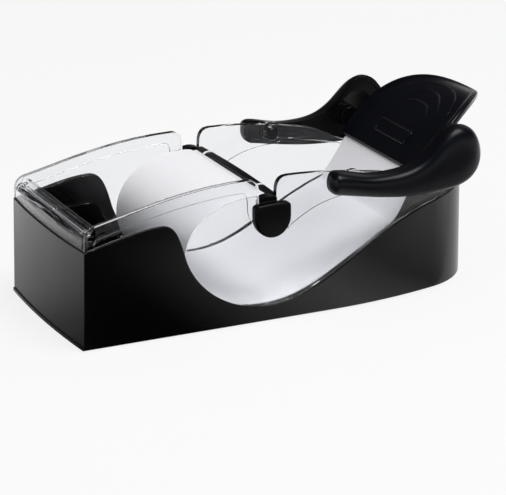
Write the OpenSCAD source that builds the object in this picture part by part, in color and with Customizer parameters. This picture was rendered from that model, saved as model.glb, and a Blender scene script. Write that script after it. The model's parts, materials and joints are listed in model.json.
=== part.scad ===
// Sushi roller with a flexible film: a black tub carries a clear side frame,
// a drop-in bar holds one end of the white film, and a pair of pivoted arms
// with a leaf-shaped grip pulls the other end, which closes the loop of film.
// Millimetres. X runs along the tub, the grip is at +X, Y is across, Z is up.

/* [Tub] */
// Width of the tub across its flat sides
tub_w = 94; // [90:1:100]
// Wall thickness of the tub
tub_wall = 2.2; // [1.8:0.1:2.8]
// Height of the square end's top edge above the table
end_h = 48; // [44:0.5:50]
// How far the square end bows out at its middle
end_bow = 2; // [1:0.25:3]
// How far the square end leans in between the table and its top edge
end_lean = 1.3; // [0.8:0.1:1.8]
// Height of the step that the tray seats on, above the square end's top edge
step_h = 1.6; // [1.2:0.1:2]
// How far the base lip stands out under the square end
base_lip = 0.6; // [0.4:0.1:0.8]
// Length of the straight stretch of each side
straight_l = 127; // [120:1:130]
// Radius of the long curve that draws each side in
side_r = 240; // [235:5:260]
// Distance from the square end to the centre of the round end
round_x = 177.5; // [174:0.5:182]
// Thickness of the well's floor and of the sloping deck
deck_t = 2.2; // [1.8:0.1:2.6]
// Height of the well's floor above the table
floor_z = 3; // [2.6:0.2:4]

/* [Feet] */
// Radius of each rubber foot
foot_r = 5.5; // [4:0.5:6]
// Height of the tub's rim above the table
foot_proud = 0.8; // [0.6:0.1:1.2]
// Depth of the recess that holds a foot
foot_seat = 1.4; // [1:0.1:1.8]

/* [Film] */
// Thickness of the film
film_t = 0.6; // [0.5:0.05:0.8]
// Free gap between the film's edge and the side frame's web
film_side = 1.3; // [1:0.1:2]
// Free gap between the film and the deck under it
film_gap = 0.3; // [0.2:0.05:0.4]

/* [Side frame] */
// Thickness of the web that hangs inside the tub's wall
web_t = 1.3; // [1.1:0.1:1.5]
// Gap between the web and the tub's wall
web_gap = 0.2; // [0.15:0.05:0.3]
// How far the frame's outer face lies inside the tub's outer face
frame_inset = 0.2; // [0.1:0.05:0.4]
// Thickness that the raised rim band adds on the outside
rim_t = 1; // [0.8:0.1:1.1]
// Height of the raised rim band along the top of the left panel
rim_h = 5.6; // [5:0.1:6.5]
// Depth by which the web hangs below the tub's top edge
web_drop = 7; // [5:0.5:9]
// Wall thickness of the end tray
tray_t = 1.6; // [1.3:0.1:2]
// Length of the end tray from the square end
tray_l = 8.5; // [8:0.25:10]
// Depth of the tray's two pockets
tray_d = 2.4; // [1.8:0.2:3]
// Thickness of each long rib in the pockets
rib_t = 0.8; // [0.6:0.1:1]

/* [Bar] */
// Distance from the square end to the middle of the bar's slot
bar_x = 94.5; // [93:0.25:96]
// How far the bar lies off the middle of its slot, towards the grip
bar_off = 3.9; // [3.2:0.1:4.4]
// Width of the bar
bar_w = 3.8; // [3.4:0.1:4.2]
// Thickness of the bar
bar_t = 2.2; // [1.8:0.1:2.6]
// Height of the bar's underside at its ends
bar_z = 60.4; // [60:0.1:60.8]
// Rise of the bar at its middle
bar_crown = 1; // [0.5:0.25:1.5]
// Width of the slot that the bar's necks drop into
slot_w = 9.2; // [8.8:0.1:9.6]
// Free gap between a neck and its slot
neck_gap = 0.3; // [0.25:0.05:0.4]
// Radius of the half-round end caps
cap_r = 10.3; // [10:0.1:11]
// Height of the end caps' straight upper part
cap_up = 6; // [5:0.25:7]
// Thickness of the end caps
cap_t = 4.7; // [4:0.1:5]

/* [Arms] */
// Distance from the square end to the arms' pivot
pivot_x = 139.3; // [137:0.1:141]
// Height of the arms' pivot
pivot_z = 63.9; // [63:0.1:65]
// Radius of the arms' pivot pins
pivot_r = 3.3; // [2.8:0.1:3.6]
// Running gap of a pin in its bore
run_gap = 0.06; // [0.04:0.01:0.08]
// Gap between an arm and the tub's side
arm_gap = 0.4; // [0.4:0.05:0.8]
// Thickness of an arm's inner half
liner_t = 2.8; // [2.4:0.1:3.2]
// Height of the domed outer half at the pivot end
dome_lo = 6; // [5.4:0.1:6.6]
// Height of the domed outer half at the horn
dome_hi = 7.8; // [7:0.1:8.6]
// Squareness of the dome's arch: 1 is an ellipse, less is fuller
dome_full = 0.65; // [0.55:0.05:0.85]

/* [Grip] */
// Distance along the tub from the arms' pivot to the grip's pins
grip_reach = 43.5; // [42:0.25:45]
// Height of the grip's pins above the arms' pivot
grip_rise = 4.2; // [3.6:0.1:4.8]
// Radius of the grip's pins
grip_pin_r = 2.6; // [2.2:0.1:3]
// Radius of the hub that carries each grip pin
hub_r = 5; // [4.5:0.1:5.4]
// Thickness of the grip's leaf
leaf_t = 2.6; // [2.2:0.1:3.2]
// Height of the leaf's raised border
lip_h = 0.9; // [0.6:0.1:1.2]
// Width of the leaf's raised border
lip_w = 3.2; // [2.4:0.2:4]
// How far the leaf's tip is rounded off
tip_round = 6; // [5:0.5:7]
// Thickness of the strip that clamps the film under the leaf
clamp_t = 1.8; // [1.4:0.1:2.2]
// How far the clamp strip ends inside the leaf's root
clamp_side = 4.6; // [4:0.2:6]

/* [Hidden] */
$fn = 96;
half_w = tub_w / 2;
rim_z = foot_proud;
web_out = half_w - tub_wall - web_gap;   // outer face of the web
web_in = web_out - web_t;                // inner face of the web
frame_out = half_w - frame_inset;        // outer face of the rim band
arm_in = half_w + arm_gap;               // inner face of the arms
liner_out = arm_in + liner_t;            // parting plane of the arms
film_w = 2 * (web_in - film_side);       // width of the film between the webs
grip_pin_x = pivot_x + grip_reach;
grip_pin_z = pivot_z + grip_rise;
over = 1;                                // overshoot of a cutting tool
far_up = 90;                             // above every piece at rest

// ---- curves in the XZ plane -------------------------------------------

function bez(p, q, r, s, n) =
    [for (i = [0:n]) let (t = i / n, u = 1 - t)
        u * u * u * p + 3 * u * u * t * q + 3 * u * t * t * r + t * t * t * s];
function tail(l) = [for (i = [1:len(l) - 1]) l[i]];
function rev(l) = [for (i = [len(l) - 1:-1:0]) l[i]];
function chain(l, i = 0) =
    i == len(l) - 1 ? l[i] : concat(l[i], tail(chain(l, i + 1)));
function heading(l, i) =
    let (v = l[min(i + 1, len(l) - 1)] - l[max(i - 1, 0)]) v / norm(v);
function beside(l, d) =
    [for (i = [0:len(l) - 1]) let (v = heading(l, i)) l[i] + d * [-v[1], v[0]]];
function strip(l, a, b) = concat(beside(l, a), rev(beside(l, b)));
function loop_heading(l, i) =
    let (n = len(l), v = l[(i + 1) % n] - l[(i + n - 1) % n]) v / norm(v);
function inset(l, d) =
    [for (i = [0:len(l) - 1]) let (v = loop_heading(l, i)) l[i] + d * [v[1], -v[0]]];
function mix(a, b, t) = a + (b - a) * t;

// Top edge of the tub's side walls: a hump, the cut-out and the long rise
hump = [38.8, end_h + 7.4];
flank = [52, 37.2];
dip = [bar_x - 0.5, 7.9];
turn = [138, 24];
knee = [200, 47];
rise_end = [222, 49.4];
wall_top = chain([
    bez([0, end_h], [14, end_h + 2.6], [27, end_h + 7.2], hump, 8),
    bez(hump, [46.8, end_h + 7.8], [48.8, end_h + 1.3], flank, 8),
    bez(flank, [57, 21], [dip[0] - 20, dip[1]], dip, 12),
    bez(dip, [dip[0] + 18, dip[1]], [125, 16.5], turn, 8),
    bez(turn, [160, 36.7], [172, 43.6], knee, 8),
    bez(knee, [208, 48], [215, 48.8], rise_end, 3)]);

// Points given from the arms' pivot and from the grip's pins
function from_pivot(x, z) = [pivot_x + x, pivot_z + z];
function from_grip(x, z) = [grip_pin_x + x, grip_pin_z + z];

// Centre line of the film: from the bar round the loop, up the slope, to the grip
film_lift = film_t / 2 + film_gap;
deck_sink = 0.6;                         // deck below the wall's edge past the film
hem_w = 2.4;                             // width of the strip on the film's end
hem_gap = 0.1;                           // clear between the strip and the loop
hem_x = bar_x + bar_off - bar_w / 2 - hem_w;
film_top = [hem_x - hem_gap, bar_z + bar_t / 2];
film_left = [53.4, 34.8];
film_dip = dip + [0, film_lift];
film_turn = turn + [0, film_lift];
film_leave = [163.5, 38.4];
grip_edge = from_grip(-5.2, -7.6);       // root edge of the grip's leaf
film_grip = grip_edge - [0.4, 1.7];
loop_over = bez(film_top, film_top + [-15, 1.5], [film_left[0], 56], film_left, 14);
loop_under = bez(film_left, [film_left[0], 17], [70, film_dip[1]], film_dip, 14);
slope_line = chain([
    bez(film_dip, [film_dip[0] + 18, film_dip[1]], [125, 16.5 + film_lift], film_turn, 8),
    bez(film_turn, [147, 29.9], [156, 35], film_leave, 6)]);
pull_line = bez(film_leave, [167, 40.4], [172, 49], film_grip, 8);

// Deck under the film: it starts as the cradle's lip and ends at the round end
cradle = [for (i = [4:14]) loop_under[i]];
deck_line = concat(
    beside(chain([cradle, slope_line]), -film_lift),
    [for (p = wall_top) if (p[0] > film_leave[0] + 4) p - [0, deck_sink]]);

// ---- plan outlines ------------------------------------------------------

bow_r = (half_w * half_w + end_bow * end_bow) / (2 * end_bow);
lean_a = atan(end_lean / end_h);
side_cy = side_r - half_w;
centre_d = norm([round_x - straight_l, side_cy]);
round_r = side_r - centre_d + 0.02;       // a hair over tangent, so it crosses the sides
meet_x = straight_l + side_r * (round_x - straight_l) / centre_d;
tub_l = round_x + round_r;

// Plan of the sides and the round end, drawn in by d and left long at the square end
module plan(d) {
    translate([-2 * end_bow, -half_w + d])
        square([straight_l + 2 * end_bow, tub_w - 2 * d]);
    intersection() {
        translate([straight_l, side_cy]) circle(side_r - d, $fn = 720);
        translate([straight_l, -side_cy]) circle(side_r - d, $fn = 720);
        translate([straight_l - over, -half_w])
            square([meet_x - straight_l + over, tub_w]);
    }
    translate([round_x, 0]) circle(round_r - d, $fn = 180);
}

// Carries what stands on the upright axis of the bow to the leaning square end
module lean()
    translate([-end_bow, 0, 0]) rotate([0, lean_a, 0]) translate([bow_r, 0, 0]) children();

// Solid block of the tub's outline, drawn in by d, with its leaning bowed end
module block(d) intersection() {
    linear_extrude(far_up) plan(d);
    lean() translate([0, 0, -far_up]) cylinder(h = 3 * far_up, r = bow_r - d, $fn = 720);
}

// An XZ outline carried across from y0 to y1
module across(y0, y1)
    translate([0, y1, 0]) rotate([90, 0, 0]) linear_extrude(y1 - y0) children();

// A round bar along Y from y0 to y1
module rod(x, z, r, y0, y1)
    translate([x, y1, z]) rotate([90, 0, 0]) cylinder(h = y1 - y0, r = r);

module place() translate([(base_lip + end_bow - tip_x) / 2, 0, 0]) children();
module near_side() mirror([0, 1, 0]) children();

// ---- tub ----------------------------------------------------------------

boss_r = foot_r + 1.8;
boss_h = 4.5;
boss_sink = 0.6;                         // how far a boss stays inside the outer face
foot_x = [13, round_x];
foot_y = [half_w, round_r] - [1, 1] * (boss_r + boss_sink);
bay_ribs = [104, 146];
step_in = 0.7;                           // step's outer face, inside the end wall's
base_lip_h = 1.6;

module wall_shape()
    polygon(concat([[-10, end_h]], wall_top, [[tub_l + 10, rise_end[1]],
        [tub_l + 10, rim_z], [-10, rim_z]]));

module tub_walls()
    intersection() {
        difference() {
            block(0);
            block(tub_wall);
        }
        across(-half_w - over, half_w + over) wall_shape();
    }

// Step on the square end's top edge and lip round its foot
module end_step()
    intersection() {
        difference() {
            block(step_in);
            block(tub_wall);
        }
        translate([-2 * end_bow, -web_out, end_h - over])
            cube([3 * end_bow, 2 * web_out, step_h + over]);
    }

module end_foot()
    intersection() {
        difference() {
            translate([-base_lip, 0, 0]) block(0);
            block(tub_wall / 2);
        }
        translate([-2 * end_bow, -half_w, rim_z]) cube([2.5 * end_bow, tub_w, base_lip_h]);
    }

module deck()
    intersection() {
        block(tub_wall / 2);
        across(-half_w, half_w) union() {
            polygon(strip(deck_line, 0, -deck_t));
            translate([deck_line[0][0] - deck_t, floor_z])
                square([deck_t, deck_line[0][1] - floor_z]);
            translate([-2 * end_bow, floor_z])
                square([deck_line[0][0] + 2 * end_bow, deck_t]);
        }
    }

module under_ribs()
    intersection() {
        block(tub_wall / 2);
        across(-half_w, half_w) intersection() {
            polygon(concat(beside(deck_line, -deck_t / 2),
                [[rise_end[0], floor_z], [deck_line[0][0], floor_z]]));
            for (x = bay_ribs)
                translate([x, floor_z]) square([deck_t, far_up]);
        }
    }

module tub() place() color([0.045, 0.045, 0.05]) difference() {
    union() {
        tub_walls();
        end_step();
        end_foot();
        deck();
        under_ribs();
        for (i = [0, 1], s = [-1, 1])
            translate([foot_x[i], s * foot_y[i], rim_z]) cylinder(h = boss_h, r = boss_r);
    }
    for (i = [0, 1], s = [-1, 1])
        translate([foot_x[i], s * foot_y[i], rim_z - over])
            cylinder(h = foot_seat + over, r = foot_r);
}

module rubber_feet() place() color([0.1, 0.1, 0.1])
    for (i = [0, 1], s = [-1, 1])
        translate([foot_x[i], s * foot_y[i], 0]) {
            cylinder(h = foot_proud / 2, r1 = foot_r - foot_proud / 2, r2 = foot_r);
            translate([0, 0, foot_proud / 2])
                cylinder(h = foot_proud / 2 + foot_seat, r = foot_r);
        }

// ---- clear side frame ----------------------------------------------------

slot_l = bar_x - slot_w / 2;
slot_r = bar_x + slot_w / 2;
slot_z = bar_z - 2.8;                    // centre of the slot's round foot
panel_top_z = pivot_z + 7.7;
panel_end = 203;
eye_r = 6;
eye_ring = 5;
left_top = chain([
    bez([1.7, end_h + 5], [1.9, end_h + 9], [4, end_h + 11.2], [8, end_h + 11.9], 5),
    bez([8, end_h + 11.9], [26, end_h + 15.5], [50, panel_top_z], [85, panel_top_z], 10),
    bez([85, panel_top_z], [88, panel_top_z], [slot_l, panel_top_z - 2.2],
        [slot_l, panel_top_z - 5.2], 4)]);
right_top = chain([
    bez([slot_r, panel_top_z - 8], [slot_r, panel_top_z - 2.7],
        [slot_r + 1.5, panel_top_z], [slot_r + 6, panel_top_z], 5),
    bez([slot_r + 6, panel_top_z], from_pivot(-19, 7.6), from_pivot(-3, 5.5),
        from_pivot(10.7, 3), 6),
    bez(from_pivot(10.7, 3), from_pivot(18, 1.7), from_grip(-18.5, -3.8),
        from_grip(-12.8, -7.1), 4),
    bez(from_grip(-12.8, -7.1), from_grip(-9.5, -9.4), from_grip(-6, -11),
        from_grip(3, -12.4), 4),
    bez(from_grip(3, -12.4), from_grip(8, -13), [panel_end - 6, 53.4],
        [panel_end, 53], 2)]);

// The part of the wall's edge from the square end to the frame's end
panel_left = 1.7;
seat_line = [for (p = wall_top) if (p[0] > 2 && p[0] < panel_end) p];
seat_end = lookup(panel_end, wall_top);

module panel_slot() {
    translate([bar_x, slot_z]) circle(slot_w / 2);
    translate([slot_l, slot_z]) square([slot_w, far_up - slot_z]);
}

// Whole side of the frame above the tub's edge
module panel_shape() difference() {
    union() {
        polygon(concat([[panel_left, lookup(panel_left, wall_top)]], left_top, right_top,
            [[panel_end, seat_end]], rev(seat_line)));
        translate([pivot_x, pivot_z]) circle(eye_r);
    }
    panel_slot();
}

// Web that hangs inside the wall and closes the cut-out down to the deck
web_left = panel_left + tub_wall;
web_foot = end_h - web_drop;
module web_shape() difference() {
    polygon(concat([[web_left, web_foot], [web_left, end_h + 7]],
        [for (p = left_top) if (p[0] > 5) p], right_top,
        [[panel_end, lookup(panel_end, deck_line) + film_gap]],
        [for (p = rev(deck_line)) if (p[0] < panel_end - 2) p + [0, film_gap]],
        [deck_line[0] + [-deck_t - 0.5, film_gap], [50, 27], [45, 38], [42, web_foot]]));
    panel_slot();
}

// Thin windows of the panel; what is left round them is the raised rim band
window_left = concat([[6.5, 10], [6.5, end_h + 3.5], [7.6, end_h + 5.8]],
    [for (p = beside(left_top, -rim_h)) if (p[0] > 11 && p[0] < slot_l - 8) p],
    bez([slot_l - 8, panel_top_z - rim_h], [slot_l - 6.5, panel_top_z - rim_h],
        [slot_l - 5.7, panel_top_z - 8.5], [slot_l - 5.7, panel_top_z - 12], 4),
    [[slot_l - 5.7, 10]]);
window_right = concat([[slot_r + 6, 10], [slot_r + 6, 45]],
    bez([slot_r + 7.5, 47], [slot_r + 13, 50.4], from_pivot(-19, -7.5),
        from_pivot(-5.3, -6.1), 6),
    [from_pivot(4.7, -5.3)],
    bez(from_pivot(10.7, -3.5), from_pivot(24.7, -6.5), from_grip(1.2, -14.7),
        [panel_end + 5, 49.6], 6),
    [[panel_end + 5, 10]]);

module rim_shape() difference() {
    panel_shape();
    polygon(window_left);
    polygon(window_right);
}

// Far side of a shell between two offsets of the tub's outline, without its ends
module side_strip(out, in)
    intersection() {
        difference() {
            plan(out);
            plan(in);
        }
        union() {
            translate([0, half_w - 5]) square([straight_l, 10]);
            translate([straight_l - 1, 5]) square([tub_l, half_w]);
        }
    }

module frame_layer(out, in)
    intersection() {
        linear_extrude(far_up) side_strip(out, in);
        across(0, half_w + over) children();
    }

module frame_side() {
    difference() {
        union() {
            frame_layer(half_w - web_out, half_w - web_in) web_shape();
            frame_layer(frame_inset + rim_t, half_w - web_out + 0.01) difference() {
                panel_shape();
                polygon(concat([for (p = deck_line) p + [0, film_gap]],
                    [[rise_end[0], floor_z], [deck_line[0][0], floor_z]]));
            }
            frame_layer(frame_inset, frame_inset + rim_t + 0.01) rim_shape();
            rod(pivot_x, pivot_z, eye_ring, web_in - rim_t, web_in + 0.01);
        }
        rod(pivot_x, pivot_z, pivot_r + run_gap, web_in - rim_t - over, frame_out + over);
    }
}

tray_z = end_h + 9;                      // top face of the tray
skirt_gap = 0.2;                         // clear above the tub's step
foot_of_skirt = end_h + step_h + skirt_gap;
pocket_l = 2.6;                          // where the pockets start
pocket_edge = 4;                         // tray left beyond each pocket
divider = 4;                             // tray left between the pockets
tray_out = web_out - 0.3;                // half width of the tray

// Section of the skirt: distance in from the bowed face, and height
skirt = chain([
    [[frame_inset, foot_of_skirt], [frame_inset, end_h + 4.5]],
    bez([frame_inset, end_h + 4.5], [0.4, end_h + 7.4], [2.2, tray_z], [5, tray_z], 6),
    [[5, tray_z], [tray_l + 3, tray_z]]]);

// Skirt over the square end, rolled in at its top and bowed as the end is
module skirt_shell()
    lean() rotate_extrude($fn = 720)
        polygon([for (p = strip(skirt, 0, -tray_t)) [bow_r - p[0], p[1]]]);

module end_tray() intersection() {
    union() {
        skirt_shell();
        translate([0, -half_w, 0]) {
            translate([tray_l - tray_t, 0, tray_z - tray_d - tray_t])
                cube([tray_t, tub_w, tray_d + tray_t + 1.4]);
            translate([pocket_l - 1, 0, tray_z - tray_d - tray_t])
                cube([tray_l - pocket_l + 1, tub_w, tray_t]);
        }
    }
    translate([-2 * end_bow, -tray_out, 0]) cube([tray_l + 2 * end_bow, 2 * tray_out, far_up]);
}

module tray_pockets()
    for (s = [0, 1]) mirror([0, s, 0])
        translate([pocket_l, divider / 2, tray_z - tray_d])
            cube([tray_l - tray_t - pocket_l, web_in - pocket_edge - divider / 2,
                  tray_d + over]);

module tray_ribs()
    for (x = [pocket_l + 1.2, pocket_l + 2.8])
        translate([x, -web_in + pocket_edge + 1, tray_z - tray_d])
            cube([rib_t, 2 * (web_in - pocket_edge - 1), tray_d - 0.8]);

module side_frame() place() color([0.85, 0.88, 0.9, 0.35]) union() {
    frame_side();
    near_side() frame_side();
    difference() {
        end_tray();
        tray_pockets();
    }
    tray_ribs();
}

// ---- film -----------------------------------------------------------------

// Film between the side frames; it draws in where they curve towards the round end
edge_gap = 0.5;
module film(line, w) intersection() {
    across(-w / 2, w / 2) polygon(strip(line, film_t / 2, -film_t / 2));
    linear_extrude(far_up) plan(half_w - web_in + edge_gap);
}

module film_loop() place() color([0.95, 0.95, 0.95]) film(chain([loop_over, loop_under]), film_w);
module film_slope() place() color([0.95, 0.95, 0.95]) film(slope_line, film_w);

module film_pull() place() color([0.95, 0.95, 0.95]) film(pull_line, film_w);

// ---- bar with its caps ------------------------------------------------------

pad_r = slot_w / 2 - neck_gap;
pad_t = 2;
pad_in = web_in - 5;
bar_half = web_in - 0.4;
cap_in = half_w + neck_gap;
hook_y = 37;
hook_w = 4;
hook_up = 1.4;                           // hooks above the bar's ends
hem_t = 1.2;
hem_end = 3;                             // strip beyond each hook's middle

function bar_arc(z) = [for (i = [-8:8]) let (u = i / 8)
    [u * bar_half, z + bar_crown * (1 - u * u)]];

module film_bar() place() color([0.05, 0.05, 0.05])
    translate([hem_x + hem_w, 0, 0]) rotate([90, 0, 90]) linear_extrude(bar_w)
        polygon(concat(bar_arc(bar_z), rev(bar_arc(bar_z + bar_t))));

// White strip welded to the film's end; its hooks reach over the bar
module film_hem() place() color([0.9, 0.9, 0.9]) {
    translate([hem_x, -hook_y - hem_end, bar_z + bar_t / 2 - hem_t / 2])
        cube([hem_w, 2 * (hook_y + hem_end), hem_t]);
    for (s = [-1, 1])
        translate([hem_x, s * hook_y - hook_w / 2, bar_z + bar_t / 2])
            cube([hem_w, hook_w, bar_t / 2 + hook_up]);
}

// Half of the cap's section: flat back and a rounded outer rim
module cap_section() {
    rim = 1.4;
    square([cap_r, cap_t - rim]);
    square([cap_r - rim, cap_t]);
    translate([cap_r - rim, cap_t - rim]) circle(rim, $fn = 48);
}

module bar_cap() {
    top_z = bar_z - 0.7;
    mid_z = top_z - cap_up;
    translate([bar_x, cap_in, mid_z]) {
        intersection() {
            rotate([-90, 0, 0]) rotate_extrude() cap_section();
            translate([-2 * cap_r, -over, -2 * cap_r]) cube([4 * cap_r, cap_t + 2 * over, 2 * cap_r]);
        }
        linear_extrude(cap_up) {
            cap_section();
            mirror([1, 0]) cap_section();
        }
    }
    difference() {
        union() {
            across(pad_in + pad_r, cap_in + 0.5) intersection() {
                union() {
                    translate([bar_x, slot_z]) circle(pad_r);
                    translate([bar_x - pad_r, slot_z]) square([2 * pad_r, far_up]);
                }
                square([2 * bar_x, bar_z]);
            }
            translate([bar_x, pad_in + pad_r, bar_z - pad_t - 1]) cylinder(h = pad_t + 1, r = pad_r);
        }
        translate([bar_x, pad_in + pad_r, bar_z - 1.2]) cylinder(h = 3, r = 1.6);
    }
}

module bar_cap_far() place() color([0.05, 0.05, 0.05]) bar_cap();
module bar_cap_near() place() color([0.05, 0.05, 0.05]) near_side() bar_cap();

// ---- arms -------------------------------------------------------------------

// Points of the horn, given from a place beside the grip's pins
function from_horn(x, z) = from_grip(x - 0.5, z + 0.4);

// Outline of an arm: lower and upper edges in matching steps, horn's nose and heel
arm_under = chain([
    bez(from_pivot(-10.8, -4.2), from_pivot(-5.3, -5), from_pivot(3.7, -6.9),
        from_pivot(10.7, -7.9), 5),
    bez(from_pivot(10.7, -7.9), from_horn(-16.8, -14.8), from_horn(-4.8, -15.1),
        from_horn(7.2, -13.5), 12)]);
arm_over = chain([
    bez(from_pivot(-9.8, 7.3), from_pivot(-4.3, 6.7), from_pivot(2.7, 3.7),
        from_pivot(10.7, 3.5), 5),
    bez(from_pivot(10.7, 3.5), from_pivot(20.7, 3.3), from_horn(-14.3, -1.1),
        from_horn(-6.8, 4.9), 6),
    bez(from_horn(-6.8, 4.9), from_horn(-1.3, 9.2), from_horn(2.2, 16.6),
        from_horn(8.7, 17.8), 6)]);
arm_nose = chain([
    bez(from_horn(7.2, -13.5), from_horn(16.2, -12.5), from_horn(23.8, -7.6),
        from_horn(23.8, 2.4), 6),
    bez(from_horn(23.8, 2.4), from_horn(23.8, 11.4), from_horn(16.2, 18.1),
        from_horn(8.7, 17.8), 6)]);
arm_heel = chain([
    bez(from_pivot(-9.8, 7.3), from_pivot(-12.6, 7.6), from_pivot(-14.2, 5.6),
        from_pivot(-14.2, 1.6), 4),
    bez(from_pivot(-14.2, 1.6), from_pivot(-14.2, -1.7), from_pivot(-12.9, -3.5),
        from_pivot(-10.8, -4.2), 4)]);
arm_steps = len(arm_under) - 1;
arm_line = concat(arm_under, tail(arm_nose), tail(rev(arm_over)),
    [for (i = [1:len(arm_heel) - 2]) arm_heel[i]]);

// Spine that the domed side closes onto, and the spine point of each outline point
spine = [for (i = [0:arm_steps]) mix(arm_under[i], arm_over[i], 0.5)];
spine_of = concat([for (i = [0:arm_steps]) i],
    [for (i = [1:len(arm_nose) - 2]) arm_steps],
    [for (i = [arm_steps:-1:0]) i],
    [for (i = [1:len(arm_heel) - 2]) 0]);
function dome_h(i) = mix(dome_lo, dome_hi, i / arm_steps);
dome_rings = 8;

module dome() {
    n = len(arm_line);
    crest = n * dome_rings;
    pts = concat(
        [for (k = [0:dome_rings - 1], i = [0:n - 1])
            let (a = 90 * k / dome_rings, j = spine_of[i],
                q = mix(spine[j], arm_line[i], pow(cos(a), dome_full)))
            [q[0], liner_out + dome_h(j) * pow(sin(a), dome_full), q[1]]],
        [for (j = [0:arm_steps]) [spine[j][0], liner_out + dome_h(j), spine[j][1]]],
        [for (j = [0:arm_steps]) [spine[j][0], liner_out, spine[j][1]]]);
    last = crest - n;
    base = crest + arm_steps + 1;
    faces = concat(
        [for (i = [0:n - 1]) [base + spine_of[i], (i + 1) % n, i]],
        [for (i = [0:n - 1]) if (spine_of[i] != spine_of[(i + 1) % n])
            [base + spine_of[i], base + spine_of[(i + 1) % n], (i + 1) % n]],
        [for (k = [0:dome_rings - 2], i = [0:n - 1], half = [0, 1])
            let (a = k * n + i, b = k * n + (i + 1) % n)
            half == 0 ? [a, b, b + n] : [a, b + n, a + n]],
        [for (i = [0:n - 1]) [last + i, last + (i + 1) % n, crest + spine_of[i]]],
        [for (i = [0:n - 1]) if (spine_of[i] != spine_of[(i + 1) % n])
            [last + (i + 1) % n, crest + spine_of[(i + 1) % n], crest + spine_of[i]]]);
    polyhedron(pts, faces, convexity = 6);
}

horn_c = spine[arm_steps];
groove_d = 0.9;
dish_r = 22;
dish_d = 1.8;
ring_t = 2;

module liner() difference() {
    union() {
        difference() {
            across(arm_in, liner_out) polygon(arm_line);
            across(arm_in - over, arm_in + groove_d) polygon(inset(arm_line, -2));
            translate([horn_c[0], arm_in + groove_d - dish_r + dish_d, horn_c[1]]) sphere(dish_r);
        }
        rod(grip_pin_x, grip_pin_z, hub_r + 0.6, arm_in - ring_t, arm_in + groove_d + 0.5);
        rod(pivot_x, pivot_z, pivot_r + 1.6, arm_in, arm_in + groove_d + 0.01);
    }
    rod(grip_pin_x, grip_pin_z, grip_pin_r + run_gap, arm_in - ring_t - over, liner_out - 0.8);
    rod(pivot_x, pivot_z, pivot_r, arm_in - over, liner_out - 0.8);
}

module arm_shell_far() place() color([0.04, 0.045, 0.06]) dome();
module arm_shell_near() place() color([0.04, 0.045, 0.06]) near_side() dome();
module arm_liner_far() place() color([0.06, 0.06, 0.07]) liner();
module arm_liner_near() place() color([0.06, 0.06, 0.07]) near_side() liner();

module pivot_pin() {
    pin_in = web_in - rim_t - 0.3;
    rod(pivot_x, pivot_z, pivot_r, pin_in + 0.5, liner_out - 0.8);
    translate([pivot_x, pin_in + 0.5, pivot_z]) rotate([90, 0, 0])
        cylinder(h = 0.5, r1 = pivot_r, r2 = pivot_r - 0.5);
}
module pivot_pin_far() place() color([0.03, 0.03, 0.03]) pivot_pin();
module pivot_pin_near() place() color([0.03, 0.03, 0.03]) near_side() pivot_pin();

// ---- grip --------------------------------------------------------------------

leaf_ctrl = [grip_edge, from_grip(0.4, -5.4), from_grip(28.1, 39), from_grip(52.2, 12.2)];
leaf_half_ctrl = [half_w - 8, half_w - 0.5, half_w - 3];
leaf_line = bez(leaf_ctrl[0], leaf_ctrl[1], leaf_ctrl[2], leaf_ctrl[3], 18);
hub_y = web_in - 2.3;                    // where the leaf's hubs start
leaf_steps = 24;

// Half width of the leaf where its centre line is a share t of the way along,
// rounded off where the two edges would meet in a point
function leaf_half(t) = let (u = 1 - t,
        w = u * u * u * leaf_half_ctrl[0] + 3 * u * u * t * leaf_half_ctrl[1]
            + 3 * u * t * t * leaf_half_ctrl[2])
    sqrt(max(w * w - tip_round * tip_round, 0));
function leaf_x(t) = let (u = 1 - t)
    u * u * u * leaf_ctrl[0][0] + 3 * u * u * t * leaf_ctrl[1][0]
        + 3 * u * t * t * leaf_ctrl[2][0] + t * t * t * leaf_ctrl[3][0];
leaf_end = 1 - tip_round / (3 * leaf_half_ctrl[2]);
tip_x = leaf_x(leaf_end);                // tip of the grip's leaf
function leaf_point(i) =
    let (t = leaf_end * (1 - pow(1 - i / leaf_steps, 1.8))) [leaf_x(t), leaf_half(t)];
leaf_side = [for (i = [0:leaf_steps - 1]) leaf_point(i)];

// Plan of the leaf, drawn in by d
module leaf_plan(d) {
    side = [for (i = [1:leaf_steps - 1])
        let (v = heading(leaf_side, i)) leaf_side[i] + d * [v[1], -v[0]]];
    half = concat([[grip_edge[0] + d, leaf_side[0][1] - d]],
        [for (p = side) if (p[1] > 1) p]);
    polygon(concat(half, [[tip_x - d, 0]], [for (p = rev(half)) [p[0], -p[1]]]));
}

module grip_leaf() place() color([0.04, 0.045, 0.06]) difference() {
    intersection() {
        linear_extrude(2 * far_up) leaf_plan(0);
        across(-half_w, half_w) polygon(strip(leaf_line, leaf_t / 2 + lip_h, -leaf_t / 2));
    }
    intersection() {
        linear_extrude(2 * far_up) leaf_plan(lip_w);
        across(-half_w, half_w) polygon(strip(leaf_line, leaf_t / 2 + lip_h + over, leaf_t / 2));
    }
    for (s = [0, 1]) mirror([0, s, 0])
        rod(grip_pin_x, grip_pin_z, hub_r, hub_y, half_w);
}

clamp_line = [for (i = [0:5]) leaf_line[i]];
clamp_w = 2 * (leaf_half_ctrl[0] - clamp_side);

module grip_clamp() place() color([0.05, 0.05, 0.055])
    across(-clamp_w / 2, clamp_w / 2)
        polygon(strip(clamp_line, -leaf_t / 2, -leaf_t / 2 - clamp_t));

module clamp_studs() place() color([0.05, 0.05, 0.055])
    for (i = [-1:1]) let (c = clamp_line[3], v = heading(clamp_line, 3))
        translate([c[0], i * clamp_w / 3, c[1]])
            rotate([0, -atan2(v[1], v[0]), 0])
                translate([0, 0, -leaf_t / 2 - clamp_t - 0.8]) cylinder(h = 0.8, r = 2);

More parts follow.
